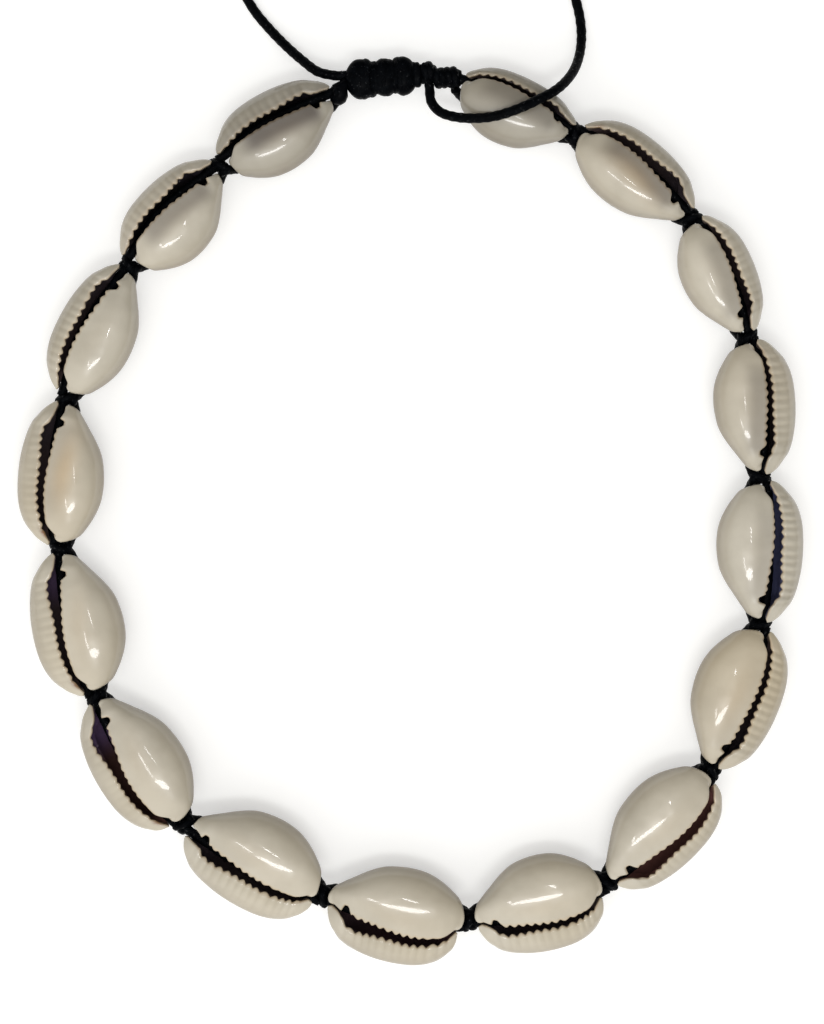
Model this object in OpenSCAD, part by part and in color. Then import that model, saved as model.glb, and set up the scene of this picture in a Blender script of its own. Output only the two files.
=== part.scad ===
// Cowrie shell necklace, closed by a sliding knot and lying flat.
// The shells lie on their round backs with the toothed slit up. A black cord
// runs through each shell and again behind it, and is knotted between shells.
// X and Y lie in the plane of the necklace, Z is up and z = 0 is the table.
// The origin is on the table, in the middle of the ring of shells.
// Shells are counted clockwise, as seen from above, from the right of the clasp.

/* [Shells] */
// Length of the average shell
shell_length = 21.55; // [20.5:0.05:23]
// Width of the average shell
shell_width = 13.8; // [12.8:0.1:14.8]
// Height of a shell from its back to its lips
shell_height = 10.8; // [10:0.1:12]
// Wall of the back and the sides
shell_wall = 1.1; // [0.8:0.1:1.5]
// Thickness of the rolled lips beside the slit
lip_thickness = 2.0; // [1.6:0.1:2.4]
// Solid end between the tip and the hollow
tip_thickness = 2.4; // [2:0.1:3]
// Width of the slit at the middle of the shell
slit_width = 1.15; // [0.9:0.05:1.4]
// Distance from one tooth to the next
tooth_pitch = 1.35; // [1.1:0.05:1.8]
// Height of a tooth
tooth_depth = 0.35; // [0.2:0.05:0.45]

/* [Cord] */
// Thickness of the cord
cord_d = 1.6; // [1.2:0.1:1.7]
// Room round the cord in what it passes through
cord_room = 0.15; // [0.1:0.05:0.2]
// Space between two shells
shell_gap = 1.6; // [1.5:0.1:2.4]
// Length of a knot between shells, across the string
knot_length = 3.7; // [3.2:0.1:4.2]
// Thickness of a knot between shells
knot_d = 2.2; // [1.9:0.1:2.3]

/* [Clasp] */
// Length of the sliding knot
slide_length = 12.4; // [11:0.1:12.8]
// Width of the sliding knot
slide_width = 6.1; // [5.4:0.1:6.6]
// Height of the sliding knot
slide_height = 4.4; // [4:0.1:5]
// Number of square knots in the sliding knot
slide_lobes = 4; // [3:1:5]
// Height of the clasp's cords above the table
clasp_z = 6.2; // [5.5:0.1:7]
// Distance of the sliding knot outside the line between the end shells
slide_offset = 2.3; // [2:0.1:2.6]
// Thickness of the end knot at the right of the clasp
end_knot_d = 4.0; // [3.4:0.1:4.4]
// Length of the end knot at the right of the clasp
end_knot_length = 2.3; // [1.8:0.1:2.4]
// Thickness of the stopper knots on the free ends
stopper_d = 3.4; // [3:0.1:4]

/* [Hidden] */

// Colours
SHELL_COLOR = "ivory";
CORD_COLOR = "#15171c";

// Knots of the string from the right of the clasp, clockwise to its left.
// The list gives the form of the ring, and the shells' lengths give its size.
ROUTE = [
    [7.5, 68], [26.5, 60], [45, 46.5], [54, 27.5], [56, 5], [56, -18.5],
    [48, -41.5], [31.5, -59.5], [9.5, -65.5], [-14, -61.5], [-36, -50],
    [-50, -29.5], [-55.5, -6], [-54.5, 18], [-44.5, 39], [-30, 55],
    [-11.5, 66.5]
];

// Centre line of the left free end, from the sliding knot to the stopper knot
TAIL_LEFT = [
    [-14.6, 70.5, 5.4], [-17.2, 72.6, 3.8], [-19.9, 75.2, 2.2], [-22.6, 78.1, 1.2],
    [-25, 81, 0.9], [-26.8, 84, 0.9], [-28.3, 87.2, 0.9], [-29.2, 90.4, 0.9]
];
// Centre line of the right free end, over the first shell and off the ring
TAIL_RIGHT = [
    [3.6, 65.4, 6.9], [5, 63.6, 8.2], [7.4, 62.6, 9.6], [10.4, 62.2, 10.8],
    [13.6, 62.4, 11.7], [17, 63.4, 12.1], [20.4, 65, 11.6], [23.6, 67, 9.9],
    [26, 69.8, 6.8], [27.4, 73, 3.6], [28, 76.6, 1.5], [27.8, 80, 0.9],
    [27, 83.4, 0.9], [25.9, 86.6, 0.9], [24.3, 89.6, 0.9]
];

// Form of the shells, in shares of their sizes.
// Columns: place along the shell from its broad to its narrow tip, reach to
// the outside and to the inside of the ring, then top, widest level and bottom.
SECTIONS = [
    [0.000, 0.34, 0.12, 0.81, 0.76, 0.68],
    [0.025, 0.54, 0.31, 0.85, 0.71, 0.55],
    [0.060, 0.66, 0.46, 0.885, 0.66, 0.36],
    [0.115, 0.78, 0.61, 0.92, 0.62, 0.235],
    [0.200, 0.90, 0.79, 0.965, 0.58, 0.115],
    [0.290, 0.97, 0.92, 0.99, 0.56, 0.045],
    [0.410, 1.00, 0.99, 1.00, 0.55, 0.000],
    [0.530, 0.99, 0.98, 1.00, 0.55, 0.000],
    [0.640, 0.95, 0.91, 0.99, 0.56, 0.035],
    [0.740, 0.88, 0.75, 0.97, 0.58, 0.110],
    [0.830, 0.79, 0.56, 0.935, 0.61, 0.220],
    [0.910, 0.66, 0.39, 0.89, 0.66, 0.345],
    [0.970, 0.49, 0.24, 0.84, 0.71, 0.540],
    [1.000, 0.32, 0.10, 0.80, 0.75, 0.670]
];
OUTER = 1;
INNER = 2;
TOP = 3;
WIDEST = 4;
BOTTOM = 5;
SECTION_POINTS = 16;

// The hollow, in shares: place along it, and how full its section is.
HOLLOW = [
    [0.00, 0.45], [0.06, 0.72], [0.18, 0.93], [0.38, 1.00],
    [0.60, 1.00], [0.80, 0.90], [0.93, 0.68], [1.00, 0.42]
];
HOLLOW_POINTS = 10;

// The slit, in shares: place along the shell, distance from its long axis
// (of each shell's own slit place) and width (of the slit's width).
SLIT = [
    [0.00, 0.34, 0.5], [0.11, 0.77, 0.7], [0.20, 0.91, 0.95], [0.37, 1.00, 1.0],
    [0.54, 0.91, 1.05], [0.64, 0.84, 1.3], [0.74, 0.78, 1.55], [0.82, 0.68, 1.5],
    [0.88, 0.50, 0.8], [0.92, 0.38, 0.5], [1.00, 0.20, 0.5]
];
// Part of the shell's length that has teeth
TEETH_FROM = 0.07;
TEETH_TO = 0.87;

// Each shell. Columns: length and width as shares of the average shell, share
// of the width that lies outside the string, place of the slit as a share of
// that outer part, and the slit's width as a share of slit_width.
SHELLS = [
    [0.88, 0.83, 0.49, 0.60, 0.75],
    [0.99, 0.90, 0.56, 0.53, 1.1],
    [0.90, 0.86, 0.54, 0.45, 0.9],
    [0.97, 0.95, 0.54, 0.38, 0.7],
    [1.02, 1.01, 0.52, 0.39, 1.1],
    [1.06, 1.04, 0.53, 0.46, 0.8],
    [1.06, 1.03, 0.55, 0.56, 1.25],
    [0.98, 1.12, 0.55, 0.50, 0.8],
    [1.03, 1.12, 0.59, 0.52, 1.1],
    [1.08, 1.13, 0.52, 0.38, 1.0],
    [1.08, 1.07, 0.56, 0.51, 1.2],
    [1.05, 1.07, 0.54, 0.42, 0.9],
    [1.04, 1.00, 0.56, 0.46, 0.9],
    [1.01, 0.93, 0.55, 0.48, 1.0],
    [0.93, 0.97, 0.50, 0.40, 1.3],
    [0.94, 0.95, 0.52, 0.34, 1.2]
];
shell_count = len(SHELLS);

// Heights of the cord in the shells' canals and of the knots between them
canal_z = 0.65 * shell_height;
knot_z = 0.51 * shell_height;
// The cord's place across the string at the broad and the narrow canal
canal_broad_y = 1.3;
canal_narrow_y = 0.8;
// The knots' middle, across the string towards the outside
knot_out_y = 0.3;
bore_d = cord_d + 2 * cord_room;
CORD_SIDES = 8;
// Space between the cord and what it only passes
behind_room = 0.2;
table_room = 0.05;

// Cord inside a shell: place along the string from knot to knot, and how far
// it has moved from the straight line between the canals to the slit.
CORD_IN_SHELL = [
    [0, 0], [0.16, 0.35], [0.33, 0.8], [0.5, 0.9], [0.67, 0.75], [0.84, 0.3], [1, 0]
];

// Cord behind a shell: place along the shell, its distance from the shell as a
// multiple of half its thickness and its room, and the angle, on the shell's
// section, of the place under the inside flank that it follows.
CORD_BEHIND = [
    [0.05, 1.7, 240], [0.12, 1.35, 246], [0.2, 1.25, 240], [0.3, 1.15, 230], [0.5, 1.15, 228],
    [0.64, 1.2, 229], [0.74, 1.3, 234], [0.82, 1.4, 242], [0.9, 1.5, 246], [0.96, 1.7, 240]
];
behind_start_y = -1.0;

// Arc of the string up to each knot
function shell_len(i) = SHELLS[i][0] * shell_length;
function pitch(i) = shell_len(i) + shell_gap;
function arc_to(i) = i == 0 ? 0 : arc_to(i - 1) + pitch(i - 1);

// Arc of the route up to each of its points
function route_arc(i) = i == 0 ? 0 : route_arc(i - 1) + norm(ROUTE[i] - ROUTE[i - 1]);
ROUTE_X = [for (i = [0:len(ROUTE) - 1]) [route_arc(i), ROUTE[i].x]];
ROUTE_Y = [for (i = [0:len(ROUTE) - 1]) [route_arc(i), ROUTE[i].y]];
route_scale = arc_to(shell_count) / route_arc(len(ROUTE) - 1);

// The knot after shell i, which is the right end of the string for i = 0
function knot_at(i) = let (arc = arc_to(i) / route_scale)
    route_scale * [lookup(arc, ROUTE_X), lookup(arc, ROUTE_Y)];
KNOTS = [for (i = [0:shell_count]) knot_at(i)];

function direction(a, b) = atan2(b.y - a.y, b.x - a.x);
function turned(p, a) = [p.x * cos(a) - p.y * sin(a), p.x * sin(a) + p.y * cos(a)];

// The clasp's own frame: its X runs from the left end of the string to the
// right end, its Y points out of the ring, and it starts midway between them.
clasp_mid = (KNOTS[0] + KNOTS[shell_count]) / 2;
clasp_angle = direction(KNOTS[shell_count], KNOTS[0]);
clasp_half = norm(KNOTS[0] - KNOTS[shell_count]) / 2;
function clasp_point(x, y, z) = let (p = clasp_mid + turned([x, y], clasp_angle)) [p.x, p.y, z];

// Places along the clasp
slide_room = 0.4;
slide_from = -clasp_half + knot_d / 2 + slide_room;
slide_to = slide_from + slide_length;
run_past = 0.3;
run_gap = 0.1;
run_spacing = cord_d + run_gap;
run_outer_y = slide_offset + run_spacing / 2;
run_inner_y = slide_offset - run_spacing / 2;
elbow_room = 0.15;
elbow_round = 0.4;
elbow_x = slide_to + cord_d / 2 + elbow_room;
elbow_y = run_inner_y - cord_d / 2;
end_knot_shift = 0.2;
end_knot_y = canal_broad_y + end_knot_shift;
end_knot_to = clasp_half - knot_d / 2 + end_knot_shift;
end_knot_from = end_knot_to - end_knot_length;
end_knot_reach = 0.8;

// A value of the section table at place u, in shares
function share(u, column) = lookup(u, [for (row = SECTIONS) [row[0], row[column]]]);
function outer_reach(i) = SHELLS[i][1] * SHELLS[i][2] * shell_width;
function inner_reach(i) = SHELLS[i][1] * (1 - SHELLS[i][2]) * shell_width;

// Roundness of the section's upper half, where 1 is an ellipse
flatness = 0.86;
function signed_pow(v, p) = sign(v) * pow(abs(v), p);

// A point of shell i's section at u, drawn in by side, top and bottom insets
function section_point(i, u, angle, side_in, top_in, bottom_in, fill) =
    let (
        reach = cos(angle) > 0
            ? outer_reach(i) * share(u, OUTER) - side_in
            : inner_reach(i) * share(u, INNER) - side_in,
        middle = share(u, WIDEST) * shell_height,
        up = share(u, TOP) * shell_height - top_in - middle,
        down = middle - share(u, BOTTOM) * shell_height - bottom_in,
        rise = sin(angle) > 0 ? up : down
    )
    [
        (u - 0.5) * shell_len(i),
        fill * reach * signed_pow(cos(angle), sin(angle) > 0 ? flatness : 1),
        middle + fill * rise * signed_pow(sin(angle), sin(angle) > 0 ? flatness : 1)
    ];

// A closed body through rings of points, each ring with the same count
module loft(rings) {
    count = len(rings[0]);
    last = len(rings) - 1;
    points = [for (ring = rings) for (p = ring) p];
    sides = [for (r = [0:last - 1]) for (j = [0:count - 1])
        let (a = r * count + j, b = r * count + (j + 1) % count)
        each [[a, b + count, b], [a, a + count, b + count]]];
    first_cap = [[for (j = [0:count - 1]) j]];
    last_cap = [[for (j = [0:count - 1]) last * count + count - 1 - j]];
    polyhedron(points = points, faces = concat(sides, first_cap, last_cap));
}

// Ring of a round cord at a, at right angles to the way from p to q
function cord_ring(a, p, q) =
    let (
        t = (q - p) / norm(q - p),
        side = cross(t, [0, 0, 1]) / norm(cross(t, [0, 0, 1])),
        up = cross(side, t)
    )
    [for (j = [0:CORD_SIDES - 1]) let (w = (j + 0.5) * 360 / CORD_SIDES)
        a + cord_d / 2 * (cos(w) * side - sin(w) * up)];

// A cord through a list of points
module cord_tube(path) {
    last = len(path) - 1;
    loft([for (i = [0:last])
        cord_ring(path[i], path[max(i - 1, 0)], path[min(i + 1, last)])]);
}

// A straight round bar from p to q
module bar(p, q, d) {
    v = q - p;
    translate(p)
        rotate([0, acos(v.z / norm(v)), atan2(v.y, v.x)])
            cylinder(d = d, h = norm(v), $fn = 32);
}

// Turns of cord wound side by side round the Z axis
WRAP_STEPS = 4;
module wraps(length, d, count) {
    waist = 0.8;
    steps = count * WRAP_STEPS;
    rotate_extrude($fn = 40)
        polygon(concat(
            [[0, 0]],
            [for (k = [0:steps])
                [d / 2 * (waist + (1 - waist) * abs(sin(180 * k / WRAP_STEPS))), length * k / steps]],
            [[0, length]]
        ));
}

// Moves what is drawn to shell i: X along it to its narrow tip, Y outward
module at_shell(i) {
    a = KNOTS[i];
    b = KNOTS[i + 1];
    translate([(a.x + b.x) / 2, (a.y + b.y) / 2, 0])
        rotate([0, 0, direction(a, b)])
            children();
}

// Shell i's slit: its middle line and half its width at place u
function slit_y(i, u) = SHELLS[i][3] * outer_reach(i) * lookup(u, [for (row = SLIT) [row[0], row[1]]]);
function slit_half(i, u) = SHELLS[i][4] * slit_width / 2 * lookup(u, [for (row = SLIT) [row[0], row[2]]]);
function tooth(u, k) = (u > TEETH_FROM && u < TEETH_TO ? 1 : 0) * (k % 2 == 0 ? 1 : -1) * tooth_depth / 2;

// The slit runs a little past both tips, and stays open between two teeth
slit_overrun = 1.1;
slit_least = 0.1;

// One edge of the slit, with side 1 outside and -1 inside, point by point
function slit_edge(i, side) =
    let (half_teeth = 2 * round(shell_len(i) / tooth_pitch))
    [for (k = [0:half_teeth]) let (u = k / half_teeth)
        [
            (u - 0.5) * shell_len(i) * (k == 0 || k == half_teeth ? slit_overrun : 1),
            slit_y(i, u) + side * (max(slit_half(i, u), tooth_depth / 2 + slit_least) + tooth(u, k))
        ]];

module slit(i) {
    outside = slit_edge(i, 1);
    inside = slit_edge(i, -1);
    count = len(inside);
    translate([0, 0, canal_z])
        linear_extrude(height = shell_height)
            polygon(concat(inside, [for (k = [0:count - 1]) outside[count - 1 - k]]));
}

// The cord's way through shell i, from knot to knot
function through_y(i, v) =
    let (straight = canal_broad_y + v * (canal_narrow_y - canal_broad_y))
    straight + lookup(v, CORD_IN_SHELL) * (slit_y(i, v) - straight);
function through_path(i) = [for (row = CORD_IN_SHELL)
    [(row[0] - 0.5) * pitch(i), through_y(i, row[0]), canal_z]];

// The round canal at each tip, along the cord's stretches there
canal_overrun = 0.03;
module canals(i) {
    path = through_path(i);
    last = len(path) - 1;
    for (k = [0, 1, last - 2, last - 1]) {
        overrun = canal_overrun * (path[k + 1] - path[k]);
        bar(path[k] - overrun, path[k + 1] + overrun, bore_d);
    }
}

module hollow(i) {
    from = tip_thickness / shell_len(i);
    loft([for (row = HOLLOW) let (u = from + row[0] * (1 - 2 * from))
        [for (j = [0:HOLLOW_POINTS - 1])
            section_point(i, u, (j + 0.5) * 360 / HOLLOW_POINTS,
                shell_wall, lip_thickness, shell_wall, row[1])]]);
}

module shell(i) {
    color(SHELL_COLOR)
        at_shell(i)
            difference() {
                loft([for (row = SECTIONS)
                    [for (j = [0:SECTION_POINTS - 1])
                        section_point(i, row[0], j * 360 / SECTION_POINTS, 0, 0, 0, 1)]]);
                hollow(i);
                slit(i);
                canals(i);
            }
}

// The cord's way behind shell i, along its back on the inside of the ring
function behind_point(i, row) =
    let (
        p = section_point(i, row[0], row[2], 0, 0, 0, 1),
        off = row[1] * (cord_d / 2 + behind_room)
    )
    [p.x, p.y + off * cos(row[2]), max(p.z + off * sin(row[2]), cord_d / 2 + table_room)];
function behind_path(i) = concat(
    [[-0.5 * pitch(i), behind_start_y, knot_z]],
    [for (row = CORD_BEHIND) behind_point(i, row)],
    [[0.5 * pitch(i), behind_start_y, knot_z]]
);

// A knot between two shells, lying across the string
KNOT_WRAPS = 3;
module shell_knot(i) {
    before = direction(KNOTS[max(i - 1, 0)], KNOTS[max(i, 1)]);
    after = direction(KNOTS[min(i, shell_count - 1)], KNOTS[min(i + 1, shell_count)]);
    translate([KNOTS[i].x, KNOTS[i].y, knot_z])
        rotate([0, 0, (before + after) / 2 - turn_wrap(before, after)])
            rotate([-90, 0, 0])
                translate([0, 0, knot_out_y - knot_length / 2])
                    wraps(knot_length, knot_d, KNOT_WRAPS);
}
// Keeps the mean of two directions on the short way round
function turn_wrap(a, b) = abs(a - b) > 180 ? 180 : 0;

// Both cords through the sliding knot and the end knot at the clasp's right.
// The left cord turns out of the ring's way where its free end begins.
module clasp_cords() {
    outer_left = clasp_point(slide_from - run_past, run_outer_y, clasp_z);
    outer_right = clasp_point(slide_to + run_past, run_outer_y, clasp_z);
    knot_inside = clasp_point(end_knot_from + end_knot_reach, end_knot_y, clasp_z);
    cord_tube([outer_left, outer_right, knot_inside]);
    left_knot = [KNOTS[shell_count].x, KNOTS[shell_count].y, knot_z];
    inner_left = clasp_point(slide_from - run_past, run_inner_y, clasp_z);
    elbow_start = clasp_point(elbow_x - elbow_round, run_inner_y, clasp_z);
    elbow_end = clasp_point(elbow_x, run_inner_y - elbow_round, clasp_z);
    elbow_tip = clasp_point(elbow_x, elbow_y, clasp_z);
    cord_tube([left_knot, inner_left, elbow_start, elbow_end, elbow_tip]);
    end_knot();
}

END_KNOT_WRAPS = 2;
module end_knot() {
    translate(clasp_point(end_knot_from, end_knot_y, clasp_z))
        rotate([0, 0, clasp_angle])
            rotate([0, 90, 0])
                wraps(end_knot_length, end_knot_d, END_KNOT_WRAPS);
}

module cord() {
    color(CORD_COLOR) {
        for (i = [0:shell_count - 1])
            at_shell(i) {
                cord_tube(through_path(i));
                cord_tube(behind_path(i));
            }
        for (i = [0:shell_count])
            shell_knot(i);
        clasp_cords();
    }
}

// Outline of the row of square knots, seen from above or from the side: each
// knot bulges to both sides by a round lobe
lobe_overlap = 1.12;
slide_shoulder = 0.35;
module slide_outline(width) {
    lobe_r = slide_length / slide_lobes / 2 * lobe_overlap;
    lobe_pitch = (slide_length - 2 * lobe_r) / (slide_lobes - 1);
    for (k = [0:slide_lobes - 1])
        for (side = [-1, 1])
            translate([lobe_r + k * lobe_pitch, side * (width / 2 - lobe_r)])
                circle(r = lobe_r, $fn = 32);
    translate([slide_shoulder, lobe_r - width / 2])
        square([slide_length - 2 * slide_shoulder, width - 2 * lobe_r]);
}

module sliding_knot() {
    color(CORD_COLOR)
        difference() {
            translate(clasp_point(slide_from, slide_offset, clasp_z))
                rotate([0, 0, clasp_angle])
                    intersection() {
                        translate([0, 0, -slide_height])
                            linear_extrude(height = 2 * slide_height)
                                slide_outline(slide_width);
                        rotate([90, 0, 0])
                            translate([0, 0, -slide_width])
                                linear_extrude(height = 2 * slide_width)
                                    slide_outline(slide_height);
                    }
            for (y = [run_outer_y, run_inner_y])
                bar(clasp_point(slide_from - 1, y, clasp_z), clasp_point(slide_to + 1, y, clasp_z), bore_d);
        }
}

// A stopper knot on a free end, from the last point of its path on
STOPPER_WRAPS = 2;
stopper_length = 3;
stopper_overlap = 0.8;
module stopper(path) {
    last = path[len(path) - 1];
    v = last - path[len(path) - 2];
    translate([last.x, last.y, stopper_d / 2])
        rotate([0, 90, atan2(v.y, v.x)])
            translate([0, 0, -stopper_overlap])
                wraps(stopper_length, stopper_d, STOPPER_WRAPS);
}

// The straight start of a free end
tail_straight = 1;
module tail(path) {
    color(CORD_COLOR) {
        cord_tube(path);
        stopper(path);
    }
}

module tail_left() {
    tail(concat(
        [
            clasp_point(slide_from - run_past, run_outer_y, clasp_z),
            clasp_point(slide_from - run_past - tail_straight, run_outer_y, clasp_z)
        ],
        TAIL_LEFT
    ));
}

module tail_right() {
    tail(concat(
        [
            clasp_point(elbow_x, elbow_y, clasp_z),
            clasp_point(elbow_x, elbow_y - tail_straight, clasp_z)
        ],
        TAIL_RIGHT
    ));
}

shell(0);  // shell_01
shell(1);  // shell_02
shell(2);  // shell_03
shell(3);  // shell_04
shell(4);  // shell_05
shell(5);  // shell_06
shell(6);  // shell_07
shell(7);  // shell_08
shell(8);  // shell_09
shell(9);  // shell_10
shell(10);  // shell_11
shell(11);  // shell_12
shell(12);  // shell_13
shell(13);  // shell_14
shell(14);  // shell_15
shell(15);  // shell_16
cord();
sliding_knot();
tail_left();
tail_right();
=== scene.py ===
# %% [markdown]
# # A cowrie shell necklace on a black braided cord
#
# Sixteen money cowries lie on their round backs, so that the toothed slit looks
# up. A waxed cord runs through every shell and once more behind it, and both
# strands are knotted together between two shells. A sliding knot joins the two
# ends, and two loose ends run away from it over the table.
#
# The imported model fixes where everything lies. This file gives each piece its
# real surface: first the camera, then the shells, the cord, and the light.

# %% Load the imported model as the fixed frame
import bpy
import bmesh
import math
import numpy as np
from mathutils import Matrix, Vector


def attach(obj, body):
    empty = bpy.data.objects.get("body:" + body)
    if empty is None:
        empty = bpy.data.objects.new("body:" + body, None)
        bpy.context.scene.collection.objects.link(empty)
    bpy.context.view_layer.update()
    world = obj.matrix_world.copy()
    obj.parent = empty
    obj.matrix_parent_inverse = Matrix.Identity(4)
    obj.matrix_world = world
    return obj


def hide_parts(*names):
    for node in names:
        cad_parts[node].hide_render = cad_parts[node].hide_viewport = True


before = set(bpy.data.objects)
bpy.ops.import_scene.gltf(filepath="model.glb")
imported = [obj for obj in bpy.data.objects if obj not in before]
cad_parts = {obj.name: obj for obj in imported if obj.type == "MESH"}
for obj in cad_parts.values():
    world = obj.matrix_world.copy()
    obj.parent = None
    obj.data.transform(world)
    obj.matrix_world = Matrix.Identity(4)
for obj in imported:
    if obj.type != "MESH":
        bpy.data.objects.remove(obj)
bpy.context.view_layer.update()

# %% [markdown]
# ## Units and small helpers
#
# Sizes are written in millimetres, as a jeweller measures them, and turned into
# metres in one place only, where a mesh or a curve is made.

# %% Helpers for units, colours and soft steps
MM = 0.001


def linear(hex_colour):
    """The linear colour of an sRGB hex value, as a shader socket wants it."""
    parts = [int(hex_colour[k:k + 2], 16) / 255 for k in (1, 3, 5)]
    return [p / 12.92 if p <= 0.04045 else ((p + 0.055) / 1.055) ** 2.4 for p in parts] + [1.0]


def smoothstep(x, low, high):
    """0 below low, 1 above high, and a soft ramp between them."""
    t = np.clip((np.asarray(x, float) - low) / (high - low), 0, 1)
    return t * t * (3 - 2 * t)


def window(x, a, b, c, d, height=1.0):
    """Full height between b and c, with soft ramps from a and to d."""
    return height * smoothstep(x, a, b) * (1 - smoothstep(x, c, d))


def bell(x, width, middle=0.0):
    """1 at the middle, fading to both sides within about the width."""
    return np.exp(-((x - middle) / width) ** 2)


def power(v, p):
    """v to the power p, with its sign kept."""
    return np.sign(v) * np.abs(v) ** p


# %% A helper that reads a table along a smooth curve
def smooth_table(x, table, column=1):
    """Reads a column of a table at x along a smooth curve through its rows."""
    t = np.asarray(table, float)
    xs, ys = t[:, 0], t[:, column]
    step = np.diff(xs)
    slope = np.diff(ys) / step
    tangent = np.concatenate([[slope[0]], (slope[:-1] * step[1:] + slope[1:] * step[:-1])
                              / (step[1:] + step[:-1]), [slope[-1]]])
    x = np.clip(x, xs[0], xs[-1])
    k = np.clip(np.searchsorted(xs, x, side="right") - 1, 0, len(step) - 1)
    w = (x - xs[k]) / step[k]
    a, b = ys[k], ys[k + 1]
    ma, mb = tangent[k] * step[k], tangent[k + 1] * step[k]
    return a + w * ma + w * w * (3 * (b - a) - 2 * ma - mb) + w ** 3 * (2 * (a - b) + ma + mb)


# %% [markdown]
# ## The camera
#
# The photograph looks straight down at the table. Its perspective is fitted by
# the sizes of the shells, which puts the lens 420 mm above the table, nearly
# over the middle of the ring.

# %% Camera
CAMERA_X, CAMERA_Y, CAMERA_HEIGHT = 0.48, -0.32, 420
VIEW_HEIGHT, SENSOR = 166.9, 36


def linked(name, data):
    """A new object in the scene, at the origin."""
    made = bpy.data.objects.new(name, data)
    bpy.context.scene.collection.objects.link(made)
    return made


camera = linked("camera", bpy.data.cameras.new("camera"))
camera.location = (CAMERA_X * MM, CAMERA_Y * MM, CAMERA_HEIGHT * MM)
camera.data.sensor_width = SENSOR
camera.data.lens = SENSOR * CAMERA_HEIGHT / VIEW_HEIGHT
camera.data.clip_start, camera.data.clip_end = 0.01, 10
bpy.context.scene.camera = camera
print("lens", round(camera.data.lens, 1), "mm, view", VIEW_HEIGHT, "mm high")

# %% [markdown]
# ## The route of the string
#
# The knots between the shells are the joints of the string. Their places come
# from the same short list as in the model's source, scaled so that the shells
# and the small spaces between them fill the ring.

# %% Sizes and route, as in the model's source
SHELL_LENGTH, SHELL_WIDTH, SHELL_HEIGHT = 21.55, 13.8, 10.8
SHELL_WALL, LIP_THICKNESS, TIP_THICKNESS = 1.1, 2.0, 2.4
SLIT_WIDTH, TOOTH_PITCH = 1.15, 1.35
CORD_D, SHELL_GAP, KNOT_D, KNOT_LENGTH = 1.6, 1.6, 2.2, 3.7
SLIDE_LENGTH, SLIDE_WIDTH, SLIDE_HEIGHT = 12.4, 6.1, 4.4
CLASP_Z, SLIDE_OFFSET, STOPPER_D, END_KNOT_LENGTH = 6.2, 2.3, 3.4, 2.3
CANAL_Z, KNOT_Z = 0.65 * SHELL_HEIGHT, 0.51 * SHELL_HEIGHT
CANAL_BROAD_Y, CANAL_NARROW_Y, KNOT_OUT_Y = 1.3, 0.8, 0.3

ROUTE = [
    (7.5, 68), (26.5, 60), (45, 46.5), (54, 27.5), (56, 5), (56, -18.5),
    (48, -41.5), (31.5, -59.5), (9.5, -65.5), (-14, -61.5), (-36, -50),
    (-50, -29.5), (-55.5, -6), (-54.5, 18), (-44.5, 39), (-30, 55), (-11.5, 66.5),
]
# Length and width as shares of the average shell, share of the width outside
# the string, place of the slit in that share, and the slit's width
SHELLS = [
    (0.88, 0.83, 0.49, 0.58, 0.6), (0.99, 0.90, 0.56, 0.53, 1.1),
    (0.90, 0.86, 0.54, 0.45, 0.9), (0.97, 0.95, 0.54, 0.38, 0.7),
    (1.02, 1.01, 0.52, 0.39, 1.1), (1.06, 1.04, 0.53, 0.46, 0.8),
    (1.06, 1.03, 0.55, 0.56, 1.25), (0.98, 1.12, 0.55, 0.50, 0.8),
    (1.03, 1.12, 0.59, 0.52, 1.1), (1.08, 1.13, 0.52, 0.38, 1.0),
    (1.08, 1.07, 0.56, 0.51, 1.2), (1.05, 1.07, 0.54, 0.42, 0.9),
    (1.04, 1.00, 0.56, 0.46, 0.9), (1.01, 0.93, 0.55, 0.48, 1.0),
    (0.93, 0.97, 0.50, 0.40, 1.3), (0.94, 0.95, 0.52, 0.34, 1.2),
]
COUNT = len(SHELLS)


def shell_len(i):
    return SHELLS[i][0] * SHELL_LENGTH


route = np.array(ROUTE, float)
route_arc = np.concatenate([[0], np.cumsum(np.linalg.norm(np.diff(route, axis=0), axis=1))])
knot_arc = np.concatenate([[0], np.cumsum([shell_len(i) + SHELL_GAP for i in range(COUNT)])])
route_scale = knot_arc[-1] / route_arc[-1]
KNOTS = route_scale * np.stack(
    [np.interp(knot_arc / route_scale, route_arc, route[:, c]) for c in (0, 1)], axis=1)
print("the string is", round(float(knot_arc[-1]), 1), "mm long, with", len(KNOTS), "knots")


# %% Frames of the shells and of the clasp
def placed(points, middle, along, lift=0.0):
    """Points of a piece's own frame, moved to its place on the ring.

    In its own frame X runs along the string, Y out of the ring and Z up.
    """
    p = np.asarray(points, float)
    across = np.array([-along[1], along[0]])
    xy = middle + p[..., :1] * along + p[..., 1:2] * across
    return np.concatenate([xy, p[..., 2:3] + lift], axis=-1)


def shell_axes(i):
    """Middle of shell i, and its unit way along the string to the narrow tip."""
    a, b = KNOTS[i], KNOTS[i + 1]
    return (a + b) / 2, (b - a) / np.linalg.norm(b - a)


def at_shell(i, points):
    return placed(points, *shell_axes(i))


clasp_middle = (KNOTS[0] + KNOTS[COUNT]) / 2
clasp_half = np.linalg.norm(KNOTS[0] - KNOTS[COUNT]) / 2
clasp_along = (KNOTS[0] - KNOTS[COUNT]) / (2 * clasp_half)


def at_clasp(points):
    """Points of the clasp's own frame, where X runs to its right end."""
    return placed(points, clasp_middle, clasp_along)


print("the clasp bridges", round(2 * float(clasp_half), 1), "mm")

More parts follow.
